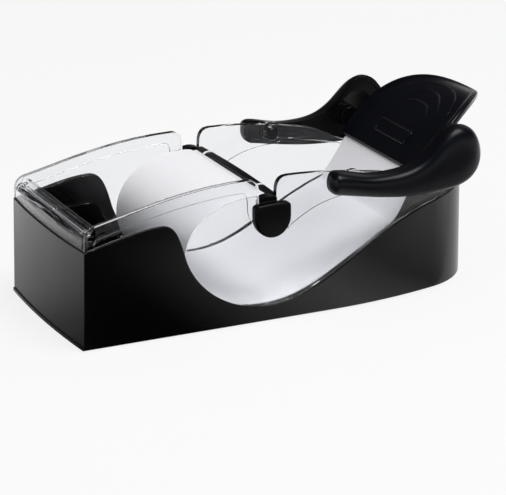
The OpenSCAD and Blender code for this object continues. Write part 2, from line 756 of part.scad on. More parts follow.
module grip_pin() {
    hub_out = arm_in - ring_t - 0.4;
    rod(grip_pin_x, grip_pin_z, hub_r, hub_y, hub_out);
    rod(grip_pin_x, grip_pin_z, grip_pin_r, hub_out - 0.01, liner_out - 1.2);
}
module grip_pin_far() place() color([0.03, 0.03, 0.035]) grip_pin();
module grip_pin_near() place() color([0.03, 0.03, 0.035]) near_side() grip_pin();

tub();
rubber_feet();
side_frame();
film_loop();
film_slope();
film_pull();
film_hem();
film_bar();
bar_cap_near();
bar_cap_far();
arm_shell_near();
arm_shell_far();
arm_liner_near();
arm_liner_far();
pivot_pin_near();
pivot_pin_far();
grip_leaf();
grip_clamp();
clamp_studs();
grip_pin_near();
grip_pin_far();
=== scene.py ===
"""Sushi roller with a flexible film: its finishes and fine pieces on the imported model.

Lengths are millimetres in the frame of the model, and mm() turns a point to metres.
Curves in the upright plane through the length are lists of (x, z).
"""

import json
import math

import bmesh
import bpy
from mathutils import Matrix, Vector


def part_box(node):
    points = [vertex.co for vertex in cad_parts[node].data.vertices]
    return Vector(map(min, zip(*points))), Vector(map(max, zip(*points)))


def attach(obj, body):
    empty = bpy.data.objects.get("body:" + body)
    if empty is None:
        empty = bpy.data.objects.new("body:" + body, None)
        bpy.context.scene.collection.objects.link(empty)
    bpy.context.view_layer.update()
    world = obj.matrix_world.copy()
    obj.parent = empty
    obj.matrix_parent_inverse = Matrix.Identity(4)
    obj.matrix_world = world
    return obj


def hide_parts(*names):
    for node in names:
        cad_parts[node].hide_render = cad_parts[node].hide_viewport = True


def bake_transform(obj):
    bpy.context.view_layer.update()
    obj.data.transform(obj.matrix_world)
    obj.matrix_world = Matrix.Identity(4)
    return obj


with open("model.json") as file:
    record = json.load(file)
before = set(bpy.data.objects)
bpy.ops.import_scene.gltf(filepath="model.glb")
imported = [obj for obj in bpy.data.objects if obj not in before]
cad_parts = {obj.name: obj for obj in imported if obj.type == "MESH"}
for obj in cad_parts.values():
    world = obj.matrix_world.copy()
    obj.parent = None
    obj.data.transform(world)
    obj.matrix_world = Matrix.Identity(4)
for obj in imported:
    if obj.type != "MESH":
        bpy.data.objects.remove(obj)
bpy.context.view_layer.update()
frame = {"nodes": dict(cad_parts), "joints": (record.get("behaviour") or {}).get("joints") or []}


# ---- anchors taken from the frame ----------------------------------------------------


def joint_place(name):
    """Place of a hinge, as (x, z) in millimetres."""
    joint = next(j for j in frame["joints"] if j["name"] == name)
    return Vector((joint["pos_m"][0] * 1000, joint["pos_m"][2] * 1000))


def node_box(name):
    """Lowest and highest corner of a node, in millimetres."""
    low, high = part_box(name)
    return low * 1000, high * 1000


PIVOT = joint_place("arm_swing")
GRIP_PIN = joint_place("grip_tilt")
bar_low, bar_high = node_box("film_bar")
# Middle of the bar's under side
BAR = Vector(((bar_low.x + bar_high.x) / 2, bar_low.z))
# Outer face of the arms' flat halves, as y
LINER_OUT = node_box("arm_liner_far")[1].y


def from_pivot(x, z):
    return PIVOT + Vector((x, z))


def from_grip(x, z):
    return GRIP_PIN + Vector((x, z))


def from_bar(x, z):
    return BAR + Vector((x, z))


def mm(x, y, z):
    return Vector((x, y, z)) / 1000


def add_object(name, data):
    """A new object in the scene, at the origin."""
    made = bpy.data.objects.new(name, data)
    bpy.context.scene.collection.objects.link(made)
    return made


# ---- camera --------------------------------------------------------------------------

# Fitted to the photograph: place, lens and sensor in millimetres, turns in degrees, width
# of the picture and shift of its centre in pixels. The clip distances are metres.
CAMERA_AT = (PIVOT.x - 552.46, -1129.93, 443.88)
AZIMUTH = -24.784
ELEVATION = 18.778
ROLL = -0.442
LENS = 189.87
SENSOR_W = 36
IMAGE_W = 506
CENTRE_OFFSET = 0.5
CLIP_NEAR = 0.05
CLIP_FAR = 50


def make_camera():
    """Camera at its place, turned by azimuth, elevation and roll."""
    a, e, r = (math.radians(v) for v in (AZIMUTH, ELEVATION, ROLL))
    back = Vector((math.sin(a) * math.cos(e), -math.cos(a) * math.cos(e), math.sin(e)))
    right = Vector((math.cos(a), math.sin(a), 0))
    up = back.cross(right)
    turned_right = math.cos(r) * right + math.sin(r) * up
    turned_up = math.cos(r) * up - math.sin(r) * right
    data = bpy.data.cameras.new("camera")
    data.sensor_width = SENSOR_W
    data.lens = LENS
    data.shift_x = -CENTRE_OFFSET / IMAGE_W
    data.shift_y = CENTRE_OFFSET / IMAGE_W
    data.clip_start = CLIP_NEAR
    data.clip_end = CLIP_FAR
    camera = add_object("camera", data)
    axes = Matrix((turned_right, turned_up, back)).transposed()
    camera.matrix_world = Matrix.Translation(mm(*CAMERA_AT)) @ axes.to_4x4()
    bpy.context.scene.camera = camera


make_camera()


# ---- materials -----------------------------------------------------------------------

# Colour sockets of the Mix node, which share their names with those of its other kinds
MIX_A = 6
MIX_B = 7
MIX_RESULT = 2

# Clouds in a plastic's colour and gloss, in millimetres, and the noise they run between
CLOUD_SIZE = 30
CLOUD_LOW = 0.3
CLOUD_HIGH = 0.7
GRAIN_STRENGTH = 0.6
BEVEL_SAMPLES = 6


def srgb(code):
    """A hex sRGB colour such as '1a2b3c' as linear red, green, blue and 1."""
    parts = [int(code[i : i + 2], 16) / 255 for i in (0, 2, 4)]
    return [v / 12.92 if v <= 0.04045 else ((v + 0.055) / 1.055) ** 2.4 for v in parts] + [1]


def node(tree, kind, inputs=None, **settings):
    """Adds a node; an input is a value or the socket it is linked from."""
    made = tree.nodes.new(kind)
    for name, value in settings.items():
        setattr(made, name, value)
    for socket, value in (inputs or {}).items():
        if isinstance(value, bpy.types.NodeSocket):
            tree.links.new(value, made.inputs[socket])
        else:
            made.inputs[socket].default_value = value
    return made


def start_material(name):
    material = bpy.data.materials.new(name)
    material.use_nodes = True
    material.node_tree.nodes.clear()
    return material, material.node_tree


def object_place(tree):
    return node(tree, "ShaderNodeTexCoord").outputs["Object"]


def per_mm(size):
    """Noise scale whose features are about size millimetres, on Object coordinates."""
    return 1000 / size


def moulded(name, colour, shade, roughness, spread, gloss_level, grain, grain_height, edge,
            ior=1.5):
    """A moulded plastic: two close colours in soft clouds, uneven gloss, fine grain and
    rounded edges. The grain's size and height and the rounding are millimetres."""
    material, tree = start_material(name)
    place = object_place(tree)
    clouds = node(tree, "ShaderNodeTexNoise",
                  {"Vector": place, "Scale": per_mm(CLOUD_SIZE), "Detail": 3.0})
    tint = node(tree, "ShaderNodeMix",
                {"Factor": clouds.outputs["Fac"], MIX_A: srgb(colour), MIX_B: srgb(shade)},
                data_type="RGBA")
    gloss = node(tree, "ShaderNodeMapRange",
                 {"Value": clouds.outputs["Fac"], "From Min": CLOUD_LOW,
                  "From Max": CLOUD_HIGH, "To Min": roughness - spread,
                  "To Max": roughness + spread})
    rounded = node(tree, "ShaderNodeBevel", {"Radius": edge / 1000}, samples=BEVEL_SAMPLES)
    texture = node(tree, "ShaderNodeTexNoise",
                   {"Vector": place, "Scale": per_mm(grain), "Detail": 2.0})
    bump = node(tree, "ShaderNodeBump",
                {"Height": texture.outputs["Fac"], "Distance": grain_height / 1000,
                 "Strength": GRAIN_STRENGTH, "Normal": rounded.outputs["Normal"]})
    shader = node(tree, "ShaderNodeBsdfPrincipled",
                  {"Base Color": tint.outputs[MIX_RESULT],
                   "Roughness": gloss.outputs["Result"], "IOR": ior,
                   "Specular IOR Level": gloss_level, "Normal": bump.outputs["Normal"]})
    node(tree, "ShaderNodeOutputMaterial", {"Surface": shader.outputs["BSDF"]})
    return material


# ABS moulded in a polished tool: near black, glossy, a faint orange peel
polished_abs = moulded("polished_black_abs", "020203", "050506", 0.23, 0.02, 0.32, 1.2, 0.003, 0.5)
# The same ABS a little duller, for the bar and its caps
bar_abs = moulded("bar_black_abs", "020202", "040405", 0.34, 0.03, 0.1, 1.0, 0.004, 0.4)
# Soft-touch rubber moulded over the arms and the grip: blue black with a weak, broad sheen
soft_touch = moulded("soft_touch_rubber", "04050a", "080910", 0.31, 0.04, 0.19, 0.5, 0.01, 0.4)
# Fine-grained ABS of the arms' inner halves
grained_abs = moulded("grained_black_abs", "040405", "070709", 0.38, 0.04, 0.16, 0.6, 0.012, 0.4)
# Acetal pins: smooth and slightly waxy
acetal = moulded("black_acetal", "050506", "08080a", 0.24, 0.03, 0.35, 0.8, 0.003, 0.3, 1.48)
# Rubber feet: matt
foot_rubber = moulded("foot_rubber", "161616", "1e1e1e", 0.75, 0.06, 0.4, 0.8, 0.03, 0.3)
# Polyethylene film: white, smooth, with a soft gloss
white_film = moulded("white_polyethylene_film", "eeeef1", "e8e8ec", 0.4, 0.04, 0.4, 2.5, 0.01, 0.1)
# Moulded white strip on the film's end
white_strip = moulded("white_moulded_strip", "e8e8eb", "e0e0e4", 0.35, 0.04, 0.4, 1.5, 0.01, 0.3)


# Of the clear frame: rounding of its edges, ripple's size and height, in millimetres. The
# IOR is under that of the real plastic, which keeps its reflections weak.
CLEAR_EDGE = 0.3
RIPPLE_SIZE = 9
RIPPLE_HEIGHT = 0.04
CLEAR_IOR = 1.34


def clear_plastic():
    """Clear styrene plastic from a polished tool: colourless, with a faint ripple."""
    material, tree = start_material("clear_styrene")
    rounded = node(tree, "ShaderNodeBevel", {"Radius": CLEAR_EDGE / 1000},
                   samples=BEVEL_SAMPLES)
    ripple = node(tree, "ShaderNodeTexNoise",
                  {"Vector": object_place(tree), "Scale": per_mm(RIPPLE_SIZE), "Detail": 1.0})
    bump = node(tree, "ShaderNodeBump",
                {"Height": ripple.outputs["Fac"], "Distance": RIPPLE_HEIGHT / 1000,
                 "Strength": 0.5, "Normal": rounded.outputs["Normal"]})
    shader = node(tree, "ShaderNodeBsdfPrincipled",
                  {"Base Color": srgb("f4f5f7"), "Roughness": 0.03, "IOR": CLEAR_IOR,
                   "Transmission Weight": 1.0, "Normal": bump.outputs["Normal"]})
    node(tree, "ShaderNodeOutputMaterial", {"Surface": shader.outputs["BSDF"]})
    return material


clear_styrene = clear_plastic()


# ---- mesh tools ----------------------------------------------------------------------

# Edges of the CAD shapes that turn by more degrees than this are left sharp
SHARP_ANGLE = 30
BISECTIONS = 40


def cubic(p, q, r, s, t):
    """Value of a cubic curve with these controls at share t of the way."""
    u = 1 - t
    return u**3 * p + 3 * u * u * t * q + 3 * u * t * t * r + t**3 * s


def bezier(p, q, r, s, steps):
    """Points of one cubic curve, ends included."""
    return [cubic(p, q, r, s, i / steps) for i in range(steps + 1)]


def chain(*curves):
    """Curves that start where the one before ends, as one list."""
    line = list(curves[0])
    for curve in curves[1:]:
        line += curve[1:]
    return line


def arc(x, z, wide, high, start, turn, steps):
    """Points at wide and high from (x, z), through turn from start in radians, ends
    included."""
    angles = [start + turn * i / steps for i in range(steps + 1)]
    return [(x + wide * math.cos(a), z + high * math.sin(a)) for a in angles]


def heading(line, i):
    """Direction of a line of (x, z) at point i."""
    return (line[min(i + 1, len(line) - 1)] - line[max(i - 1, 0)]).normalized()


def normal_at(line, i):
    """Normal of a line of (x, z) at point i, to the left of its direction."""
    run = heading(line, i)
    return Vector((-run.y, run.x))


def bisect(low, high, is_before):
    """Place between low and high up to which is_before(place) holds."""
    for _ in range(BISECTIONS):
        middle = (low + high) / 2
        if is_before(middle):
            low = middle
        else:
            high = middle
    return low


def ring_faces(count, rings):
    """Faces between rings of count points each."""
    faces = []
    for r in range(rings - 1):
        for i in range(count):
            a, b = r * count + i, r * count + (i + 1) % count
            faces.append((a, b, b + count, a + count))
    return faces


def closed_faces(points, count):
    """Faces of a solid through rings of count points, its two ends filled flat."""
    total = len(points)
    ends = [tuple(range(count)), tuple(range(total - 1, total - count - 1, -1))]
    return ends + ring_faces(count, total // count)


def stacked(rings):
    """Closed solid through rings of (outline, y), as points and faces."""
    points = [(x, y, z) for outline, y in rings for x, z in outline]
    return points, closed_faces(points, len(rings[0][0]))


def joined(parts):
    """The points and faces of several parts as one."""
    points, faces = [], []
    for corners, sides in parts:
        faces += [tuple(len(points) + i for i in side) for side in sides]
        points += corners
    return points, faces


def clean_mesh(mesh, weld=0, outward=True):
    """Joins points within weld metres of each other and turns the faces outward."""
    work = bmesh.new()
    work.from_mesh(mesh)
    if weld:
        bmesh.ops.remove_doubles(work, verts=work.verts, dist=weld)
    if outward:
        bmesh.ops.recalc_face_normals(work, faces=work.faces)
    work.to_mesh(mesh)
    work.free()


def smooth_by_angle(mesh, degrees):
    """Smooth faces, with the edges that turn more than that left sharp."""
    work = bmesh.new()
    work.from_mesh(mesh)
    limit = math.radians(degrees)
    for face in work.faces:
        face.smooth = True
    for edge in work.edges:
        edge.smooth = len(edge.link_faces) == 2 and edge.calc_face_angle(0) < limit
    work.to_mesh(mesh)
    work.free()


def new_piece(name, points, faces, material, degrees):
    """A mesh object from points in millimetres, with outward faces. Edges that turn by
    more than degrees are sharp."""
    mesh = bpy.data.meshes.new(name)
    mesh.from_pydata([mm(*p) for p in points], [], faces)
    clean_mesh(mesh, weld=1e-6)
    smooth_by_angle(mesh, degrees)
    piece = add_object(name, mesh)
    piece.data.materials.append(material)
    return piece


def relax(piece, held, rounds):
    """Evens out the curvature of a mesh, apart from its first points, which are held."""
    mesh = bmesh.new()
    mesh.from_mesh(piece.data)
    mesh.verts.ensure_lookup_table()
    for _ in range(rounds):
        bmesh.ops.smooth_vert(mesh, verts=mesh.verts[held:], factor=0.5, use_axis_x=True,
                              use_axis_y=True, use_axis_z=True)
    mesh.to_mesh(piece.data)
    mesh.free()


def bake(piece):
    """Turns a piece with modifiers into the plain mesh that they give."""
    bpy.context.view_layer.update()
    shaped = piece.evaluated_get(bpy.context.evaluated_depsgraph_get())
    mesh = bpy.data.meshes.new_from_object(shaped)
    piece.modifiers.clear()
    piece.data = mesh


def dressed(name, cad_node, body, material, cutter=None):
    """A smooth copy of a CAD node that stands for it, less what the cutter takes away."""
    mesh = frame["nodes"][cad_node].data.copy()
    mesh.name = name
    mesh.materials.clear()
    clean_mesh(mesh, weld=2e-6, outward=False)
    if mesh.has_custom_normals:
        mesh.normals_split_custom_set_from_vertices([(0, 0, 0)] * len(mesh.vertices))
    piece = add_object(name, mesh)
    if cutter:
        cut = piece.modifiers.new("cut", "BOOLEAN")
        cut.operation, cut.solver, cut.object = "DIFFERENCE", "EXACT", cutter
        bake(piece)
        bpy.data.objects.remove(cutter)
    smooth_by_angle(piece.data, SHARP_ANGLE)
    even = piece.modifiers.new("flat_faces_stay_flat", "WEIGHTED_NORMAL")
    even.mode = "FACE_AREA"
    even.keep_sharp = True
    bake(piece)
    piece.data.materials.append(material)
    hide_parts(cad_node)
    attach(piece, body)
    return piece


# ---- moulded pieces that keep the CAD shape ------------------------------------------

DRESSED = [
    ("tub_moulding", "tub", "base", polished_abs, "tub_plastic"),
    ("foot_pads", "rubber_feet", "base", foot_rubber, "foot_rubber"),
    ("drop_in_bar", "film_bar", "bar", bar_abs, "bar_plastic"),
    ("arm_inner_near", "arm_liner_near", "arms", grained_abs, "arm_plastic"),
    ("arm_inner_far", "arm_liner_far", "arms", grained_abs, "arm_plastic"),
    ("arm_pin_near", "pivot_pin_near", "arms", acetal, "pin_plastic"),
    ("arm_pin_far", "pivot_pin_far", "arms", acetal, "pin_plastic"),
    ("film_clamp", "grip_clamp", "grip", grained_abs, "arm_plastic"),
    ("film_clamp_studs", "clamp_studs", "grip", grained_abs, "arm_plastic"),
    ("leaf_hub_near", "grip_pin_near", "grip", acetal, "pin_plastic"),
    ("leaf_hub_far", "grip_pin_far", "grip", acetal, "pin_plastic"),
]
for piece_name, cad_name, body_name, finish, slot_name in DRESSED:
    dressed(piece_name, cad_name, body_name, finish)


# ---- clear side frame ----------------------------------------------------------------

SLOT = from_bar(-3.75, -2.8)
BAND_R = 10.45
BAND_CLEAR = 0.08
BAND_FOOT = 5.0
PANEL_OUT = 46.8
WINDOW_OUT = 45.8


def prism(points, near, far):
    """An outline of (x, z) carried across from near to far."""
    return stacked([(points, near), (points, far)])


def below_the_slot():
    """Cutter that takes the raised band away under each slot, so that the band turns
    round the slot's foot."""
    wide = BAND_R + BAND_CLEAR
    foot = arc(SLOT.x, SLOT.y, BAND_R, BAND_R, math.pi, math.pi, 32)
    outline = ([(SLOT.x - wide, SLOT.y)] + foot + [(SLOT.x + wide, SLOT.y)]
               + [(SLOT.x + wide, BAND_FOOT), (SLOT.x - wide, BAND_FOOT)])
    # It reaches just under the face inside the band, and well past its outer face
    deep, out = WINDOW_OUT - 0.01, PANEL_OUT + 1
    points, faces = joined([prism(outline, -out, -deep), prism(outline, deep, out)])
    mesh = bpy.data.meshes.new("below_the_slot")
    mesh.from_pydata([mm(*p) for p in points], [], faces)
    clean_mesh(mesh)
    return add_object("below_the_slot", mesh)


frame_piece = dressed("clear_side_frame", "side_frame", "base", clear_styrene,
                      cutter=below_the_slot())
# Light passes clear plastic, so it throws no shadow on the film
frame_piece.visible_shadow = False


# ---- beads that follow a path --------------------------------------------------------


def bead_tree():
    """Geometry Nodes: a round bead along each line. Its radius is multiplied by
    1 - Taper * (2 * share - 1) ** 6, which with Taper 1 draws both ends to a point."""
    tree = bpy.data.node_groups.new("bead_along_lines", "GeometryNodeTree")
    sockets = tree.interface
    sockets.new_socket("Lines", in_out="INPUT", socket_type="NodeSocketGeometry")
    for name in ("Bead radius", "Taper"):
        sockets.new_socket(name, in_out="INPUT", socket_type="NodeSocketFloat")
    sockets.new_socket("Finish", in_out="INPUT", socket_type="NodeSocketMaterial")
    sockets.new_socket("Bead", in_out="OUTPUT", socket_type="NodeSocketGeometry")
    given = node(tree, "NodeGroupInput").outputs
    share = node(tree, "GeometryNodeSplineParameter").outputs["Factor"]
    middle = node(tree, "ShaderNodeMath", {0: share, 1: 0.5}, operation="SUBTRACT")
    off = node(tree, "ShaderNodeMath", {0: middle.outputs[0], 1: 2.0}, operation="MULTIPLY")
    steep = node(tree, "ShaderNodeMath", {0: off.outputs[0], 1: 6.0}, operation="POWER")
    drawn = node(tree, "ShaderNodeMath", {0: steep.outputs[0], 1: given["Taper"]},
                 operation="MULTIPLY")
    left = node(tree, "ShaderNodeMath", {0: 1.0, 1: drawn.outputs[0]}, operation="SUBTRACT")
    size = node(tree, "ShaderNodeMath", {0: left.outputs[0], 1: given["Bead radius"]},
                operation="MULTIPLY")
    lines = node(tree, "GeometryNodeMeshToCurve", {"Mesh": given["Lines"]})
    sized = node(tree, "GeometryNodeSetCurveRadius",
                 {"Curve": lines.outputs[0], "Radius": size.outputs[0]})
    ring = node(tree, "GeometryNodeCurvePrimitiveCircle", {"Resolution": 10, "Radius": 1.0})
    swept = node(tree, "GeometryNodeCurveToMesh",
                 {"Curve": sized.outputs[0], "Profile Curve": ring.outputs[0],
                  "Fill Caps": True})
    if "Scale" in swept.inputs:
        radius = node(tree, "GeometryNodeInputRadius")
        tree.links.new(radius.outputs[0], swept.inputs["Scale"])
    smooth = node(tree, "GeometryNodeSetShadeSmooth", {0: swept.outputs[0]})
    plain = node(tree, "GeometryNodeRealizeInstances", {0: smooth.outputs[0]})
    coated = node(tree, "GeometryNodeSetMaterial",
                  {"Geometry": plain.outputs[0], "Material": given["Finish"]})
    node(tree, "NodeGroupOutput", {0: coated.outputs[0]})
    return tree


BEAD_TREE = bead_tree()


def beads(name, lines, radius, taper, material, body, closed=False):
    """Beads of a radius in millimetres along lines of points, as one piece."""
    points, edges = [], []
    for line in lines:
        first = len(points)
        points += line
        edges += [(first + i, first + i + 1) for i in range(len(line) - 1)]
        if closed:
            edges.append((len(points) - 1, first))
    mesh = bpy.data.meshes.new(name)
    mesh.from_pydata([mm(*p) for p in points], edges, [])
    piece = add_object(name, mesh)
    follow = piece.modifiers.new("follow", "NODES")
    follow.node_group = BEAD_TREE
    given = {item.name: item.identifier for item in BEAD_TREE.interface.items_tree}
    follow[given["Bead radius"]] = radius / 1000
    follow[given["Taper"]] = float(taper)
    follow[given["Finish"]] = material
    bake(piece)
    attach(piece, body)


# ---- bead on the cut-out's edge ------------------------------------------------------

TUB_HALF = 47.0
SIDE_R = 240.0
EDGE_BEAD_R = 0.42
EDGE_BEAD_UP = 0.1
EDGE_REACH = 90
ROUND_END_X = PIVOT.x - 12.3
dip = from_bar(-4.4, -52.5)
edge_turn = from_bar(39.6, -36.4)
edge_knee = from_bar(101.6, -13.4)
hump = from_bar(-59.6, -5.0)
flank = from_bar(-46.4, -23.2)


def tub_half(x):
    """Half width of the tub outside, which narrows past ROUND_END_X."""
    past = max(x - ROUND_END_X, 0)
    return math.sqrt(SIDE_R**2 - past**2) - SIDE_R + TUB_HALF


# Edge of the tub's cut-out, from the square end to the round one
wall_edge = chain(
    bezier(from_bar(-98.4, -12.4), from_bar(-84.4, -9.8), from_bar(-71.4, -5.2), hump, 12),
    bezier(hump, from_bar(-51.6, -4.6), from_bar(-49.6, -11.1), flank, 16),
    bezier(flank, from_bar(-41.4, -39.4), dip - Vector((20, 0)), dip, 24),
    bezier(dip, dip + Vector((18, 0)), from_bar(26.6, -43.9), edge_turn, 16),
    bezier(edge_turn, from_bar(61.6, -23.7), from_bar(73.6, -16.8), edge_knee, 16))
edge_run = [p for p in wall_edge if abs(p.x - BAR.x) < EDGE_REACH]
beads("cut_out_beads",
      [[(p.x, side * (tub_half(p.x) - EDGE_BEAD_R), p.y + EDGE_BEAD_UP) for p in edge_run]
       for side in (-1, 1)],
      EDGE_BEAD_R, 0, polished_abs, "base")


# ---- bar: caps and the film's end strip ----------------------------------------------

CAP_FACE = 52.0
CAP_BACK = 47.3
CAP_RIM = 1.5
NECK_R = 4.3
NECK_TOP = 5.4
NECK_CROWN = 0.9
NECK_FROM = 42.6
NECK_TO = 48.0
PAD_STEPS = 32
# Rings of the pad under the bar: height from the bar's under side, share of NECK_R
PAD_RINGS = [(-3.0, 1.0), (-0.4, 1.0), (0, 0.9), (0, 0.38), (-1.2, 0.38)]
cap_centre = from_bar(-3.0, -6.7)
neck_centre = from_bar(-3.9, -2.8)


def cap_outline(inset):
    """Half disc with a slightly crowned top and rounded corners, drawn in by inset."""
    wide, deep, high, corner, crown, steps = 9.4, 10.3, 6.3, 2.0, 0.5, 12
    inner = wide - corner
    quarter = math.pi / 2
    points = arc(0, 0, wide, deep, math.pi, math.pi, 32)
    points += arc(inner, high - corner, corner, corner, 0, quarter, 8)
    for i in range(1, steps):
        u = 1 - 2 * i / steps
        points.append((inner * u, high + crown * (1 - u * u)))
    points += arc(-inner, high - corner, corner, corner, quarter, quarter, 8)
    shrink = 1 - inset / wide
    middle = (high - deep) / 2
    return [(cap_centre.x + x * shrink, cap_centre.y + middle + (z - middle) * shrink)
            for x, z in points]


def neck_outline():
    """Section of the neck in its slot: round foot, straight sides and a crowned top."""
    points = arc(0, 0, NECK_R, NECK_R, math.pi, math.pi, 16)
    points += [(NECK_R * u, NECK_TOP - NECK_CROWN * u * u)
               for u in (1, 0.8, 0.5, 0, -0.5, -0.8, -1)]
    return [(neck_centre.x + x, neck_centre.y + z) for x, z in points]


def make_cap(name, cad_node, side):
    """End cap: rounded plate outside the slot, neck through it, pad under the bar."""
    rings = [(cap_outline(0.4), CAP_BACK), (cap_outline(0), CAP_BACK + 0.4)]
    for i in range(7):
        a = math.pi / 2 * i / 6
        rings.append((cap_outline(CAP_RIM * (1 - math.cos(a))),
                      CAP_FACE - CAP_RIM + CAP_RIM * math.sin(a)))
    plate = stacked([(outline, side * y) for outline, y in rings])
    neck = prism(neck_outline(), side * NECK_FROM, side * NECK_TO)
    disc = arc(0, 0, NECK_R, NECK_R, 0, 2 * math.pi, PAD_STEPS)[:-1]
    pad = [(neck_centre.x + x * share, side * NECK_FROM + y * share, BAR.y + up)
           for up, share in PAD_RINGS for x, y in disc]
    points, faces = joined([plate, neck, (pad, closed_faces(pad, PAD_STEPS))])
    piece = new_piece(name, points, faces, bar_abs, 40)
    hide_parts(cad_node)
    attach(piece, "bar")


make_cap("bar_end_cap_near", "bar_cap_near", -1)
make_cap("bar_end_cap_far", "bar_cap_far", 1)

STRIP_HALF = 40.0
HOOK_Y = 30.0
HOOK_HALF = 0.8
HOOK_T = 0.44


def make_end_strip():
    """White strip welded to the film's end, with two thin hooks over the bar."""
    body = [from_bar(x, z) for x, z in
            ((-4.4, 0.6), (-4.4, 1.4), (-4.2, 1.65), (-2.2, 1.65), (-1.95, 1.4), (-1.95, 0.6))]
    over = [from_bar(x, z) for x, z in ((-3.2, 1.5), (-2.7, 2.5), (-1.6, 3.1), (0, 3.3),
                                        (1.5, 3.05), (2.1, 2.4), (2.15, 1.5))]
    upper = [p + HOOK_T / 2 * normal_at(over, i) for i, p in enumerate(over)]
    lower = [p - HOOK_T / 2 * normal_at(over, i) for i, p in enumerate(over)]
    hook = upper + lower[::-1]
    parts = [prism(body, -STRIP_HALF, STRIP_HALF)]
    parts += [prism(hook, s * HOOK_Y - HOOK_HALF, s * HOOK_Y + HOOK_HALF) for s in (-1, 1)]
    points, faces = joined(parts)
    piece = new_piece("film_end_strip", points, faces, white_strip, 35)
    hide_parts("film_hem")
    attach(piece, "bar")


make_end_strip()


# ---- arms: domed outer halves --------------------------------------------------------

# Rise of the dome at the heel and the horn, and how far it swells there: less is fuller
DOME_LOW = 6.0
DOME_HIGH = 7.8
DOME_FULL = (0.85, 0.65)
DOME_RINGS = 16
# Rings that stay on the outline, and rounds of evening out for the rest
DOME_HELD = 2
DOME_RELAX = 14


def from_horn(x, z):
    """A point of the horn, given from a place beside the grip's pins."""
    return from_grip(x - 0.5, z + 0.4)


def arm_edges():
    """Lower and upper edge in matching steps, nose of the horn and heel."""
    under = chain(
        bezier(from_pivot(-10.8, -4.2), from_pivot(-5.3, -5), from_pivot(3.7, -6.9),
               from_pivot(10.7, -7.9), 15),
        bezier(from_pivot(10.7, -7.9), from_horn(-16.8, -14.8), from_horn(-4.8, -15.1),
               from_horn(7.2, -13.5), 36))
    over = chain(
        bezier(from_pivot(-9.8, 7.3), from_pivot(-4.3, 6.7), from_pivot(2.7, 3.7),
               from_pivot(10.7, 3.5), 15),
        bezier(from_pivot(10.7, 3.5), from_pivot(20.7, 3.3), from_horn(-14.3, -1.1),
               from_horn(-6.8, 4.9), 18),
        bezier(from_horn(-6.8, 4.9), from_horn(-1.3, 8.8), from_horn(2.8, 17.0),
               from_horn(10.2, 17.9), 18))
    nose = chain(
        bezier(from_horn(7.2, -13.5), from_horn(16.2, -12.5), from_horn(23.5, -7.6),
               from_horn(23.6, 2.4), 18),
        bezier(from_horn(23.6, 2.4), from_horn(23.8, 11.8), from_horn(17.4, 18.4),
               from_horn(10.2, 17.9), 18))
    heel = chain(
        bezier(from_pivot(-9.8, 7.3), from_pivot(-12.6, 7.6), from_pivot(-14.2, 5.6),
               from_pivot(-14.2, 1.6), 12),
        bezier(from_pivot(-14.2, 1.6), from_pivot(-14.2, -1.7), from_pivot(-12.9, -3.5),
               from_pivot(-10.8, -4.2), 12))
    return under, over, nose, heel


def arm_shell(name, cad_node, side):
    """Domed half: arches from the outline to the spine, higher towards the horn."""
    under, over, nose, heel = arm_edges()
    steps = len(under) - 1
    outline = under + nose[1:] + over[::-1][1:] + heel[1:-1]
    station = (list(range(steps + 1)) + [steps] * (len(nose) - 2)
               + list(range(steps, -1, -1)) + [0] * (len(heel) - 2))
    spine = [(a + b) / 2 for a, b in zip(under, over)]
    count = len(outline)

    def height(j):
        return DOME_LOW + (DOME_HIGH - DOME_LOW) * j / steps

    def fullness(j):
        return DOME_FULL[0] + (DOME_FULL[1] - DOME_FULL[0]) * min(1, 2 * j / steps)

    points = []
    for ring in range(DOME_RINGS):
        angle = math.pi / 2 * ring / DOME_RINGS
        for place, j in zip(outline, station):
            at = spine[j].lerp(place, math.cos(angle) ** fullness(j))
            rise = height(j) * math.sin(angle) ** fullness(j)
            points.append((at.x, side * (LINER_OUT + rise), at.y))
    crest = len(points)
    for j in range(steps + 1):
        points.append((spine[j].x, side * (LINER_OUT + height(j)), spine[j].y))
    faces = [tuple(range(count))] + ring_faces(count, DOME_RINGS)
    last = crest - count
    for i in range(count):
        a, b = station[i], station[(i + 1) % count]
        corners = [last + i, last + (i + 1) % count, crest + b]
        faces.append(corners if a == b else corners + [crest + a])
    piece = new_piece(name, points, faces, soft_touch, 60)
    relax(piece, DOME_HELD * count, DOME_RELAX)
    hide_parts(cad_node)
    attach(piece, "arms")


arm_shell("arm_outer_near", "arm_shell_near", -1)
arm_shell("arm_outer_far", "arm_shell_far", 1)


# ---- leaf-shaped grip ----------------------------------------------------------------

LEAF_T = 2.6
LIP_H = 0.9
LIP_W = 3.2
TIP_ROUND = 16.0
LEAF_STEPS = 56
LEAF_ACROSS = 28
# Controls of the centre line and of the half width, from root to tip
LEAF_CTRL = [from_grip(-5.2, -7.6), from_grip(-3.2, -6.8), from_grip(31.2, 42.8),
             from_grip(56.2, 7.9)]
LEAF_HALF = (41.7, 44.4, 49.3, 0)
# Shift of the root line for each millimetre of inset
ROOT_INSET = 0.04
# Rows crowd towards the tip by this power, and keep this half width for each row to go
TIP_CROWD = 1.8
LEAST_HALF = 0.02
# Rows from the root over which the raised border grows to its height
LIP_ROWS = 5


def leaf_wide(t):
    """Half width of the leaf before its tip is rounded off."""
    return cubic(*LEAF_HALF, t)


def leaf_at(t):
    """Place and upward normal of the leaf's centre line, and the half width there."""
    u = 1 - t
    p, q, r, s = LEAF_CTRL
    run = (3 * u * u * (q - p) + 6 * u * t * (r - q) + 3 * t * t * (s - r)).normalized()
    half = math.sqrt(max(leaf_wide(t) ** 2 - TIP_ROUND**2, 0))
    return cubic(p, q, r, s, t), Vector((-run.y, run.x)), half


